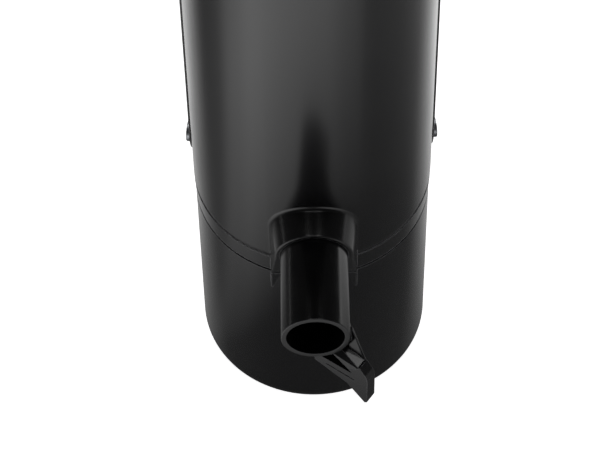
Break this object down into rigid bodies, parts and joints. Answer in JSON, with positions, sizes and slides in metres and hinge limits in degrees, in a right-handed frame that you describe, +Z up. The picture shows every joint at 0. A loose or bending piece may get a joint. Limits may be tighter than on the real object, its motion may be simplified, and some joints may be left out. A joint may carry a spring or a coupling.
{
  "type": "sous vide circulator",
  "caption": "Immersion circulator stick with a round casing, side outlet tube with a lever, pot clamp at the back and a slanted control head with dial and display.",
  "frame": {"origin": "centre of the foot's flat underside", "axes": "+Z up along the casing's axis; -Y forward along the water outlet; +X to the right seen from the front"},
  "size_m": [0.068, 0.1701, 0.3311],
  "materials": {
    "aluminium": "machined aluminium",
    "board_green": "glass-fibre circuit board",
    "bracket_black": "black powder-coated bracket",
    "button_grey": "light grey button",
    "component_dark": "moulded electronic components",
    "copper_winding": "varnished copper winding",
    "cradle_black": "darker fine-textured black plastic",
    "dial_black": "black dial",
    "heater_steel": "satin stainless heater sheath",
    "inner_plastic": "dark grey moulded plastic",
    "lens": "gloss black display window",
    "motor_black": "black painted steel can",
    "rubber": "matt black rubber",
    "satin_black": "satin black moulded plastic",
    "screw_steel": "turned stainless steel",
    "steel": "brushed stainless steel",
    "white_plastic": "white nylon"
  },
  "bodies": {
    "case": {"bracket_screws": "screw_steel", "bulkhead": "steel", "bulkhead_seal": "rubber", "button_switch": "component_dark", "cap_screws": "screw_steel", "cap_seal": "rubber", "casing_tube": "satin_black", "clamp_bracket": "bracket_black", "clamp_cradle": "cradle_black", "control_board": "board_green", "cord_gland": "rubber", "cradle_pins": "screw_steel", "dial_board": "board_green", "display_board": "board_green", "display_lens": "lens", "foot_pads": "rubber", "frame_rods": "screw_steel", "gland_nut": "inner_plastic", "head_shell": "satin_black", "head_trim": "steel", "heat_sink": "aluminium", "heater_coil": "heater_steel", "level_pins": "heater_steel", "lower_cap": "satin_black", "motor_can": "motor_black", "motor_spacers": "screw_steel", "motor_stator": "copper_winding", "power_parts": "component_dark", "pump_cover": "inner_plastic", "pump_housing": "inner_plastic", "pump_posts": "screw_steel", "pump_screws": "screw_steel", "rim_pad": "rubber", "shaft_bearings": "screw_steel", "shaft_seal": "rubber", "spout_bushing": "inner_plastic", "temperature_probe": "heater_steel"},
    "spout": {"outlet_spout": "satin_black", "spout_lever": "satin_black", "spout_seal": "rubber"},
    "rotor": {"drive_shaft": "screw_steel", "impeller": "white_plastic", "motor_rotor": "motor_black", "cooling_fan": "white_plastic"},
    "dial": {"control_dial": "dial_black", "dial_clip": "white_plastic"},
    "button": {"start_button": "button_grey"},
    "jaw": {"clamp_jaw": "bracket_black", "jaw_pad": "rubber"},
    "knob": {"clamp_screw": "screw_steel", "clamp_knob": "dial_black", "knob_cap": "inner_plastic"}
  },
  "joints": [
    {"name": "spout_turn", "type": "hinge", "parent": "case", "child": "spout", "pos_m": [0, -0.045, 0.07905], "axis": [0, -1, 0], "range_deg": [-75, 15]},
    {"name": "rotor_spin", "type": "hinge", "parent": "case", "child": "rotor", "pos_m": [0, 0, 0.1505], "axis": [0, 0, 1], "continuous": true},
    {"name": "jaw_slide", "type": "slide", "parent": "case", "child": "jaw", "axis": [0, -1, 0], "range_m": [0, 0.0165]},
    {"name": "knob_turn", "type": "hinge", "parent": "jaw", "child": "knob", "pos_m": [0, 0.07, 0.163], "axis": [0, -1, 0], "range_deg": [0, 1981]},
    {"name": "dial_turn", "type": "hinge", "parent": "case", "child": "dial", "pos_m": [0, -0.01034, 0.31624], "axis": [0, -0.342, 0.9397], "continuous": true},
    {"name": "button_press", "type": "slide", "parent": "case", "child": "button", "axis": [0, 0.342, -0.9397], "range_m": [0, 0.001], "stiffness_N_per_m": 800, "springref_m": -0.001}
  ],
  "couplings": [
    {"joint": "knob_turn", "follows": "jaw_slide", "rad_per_m": 2094.4}
  ]
}
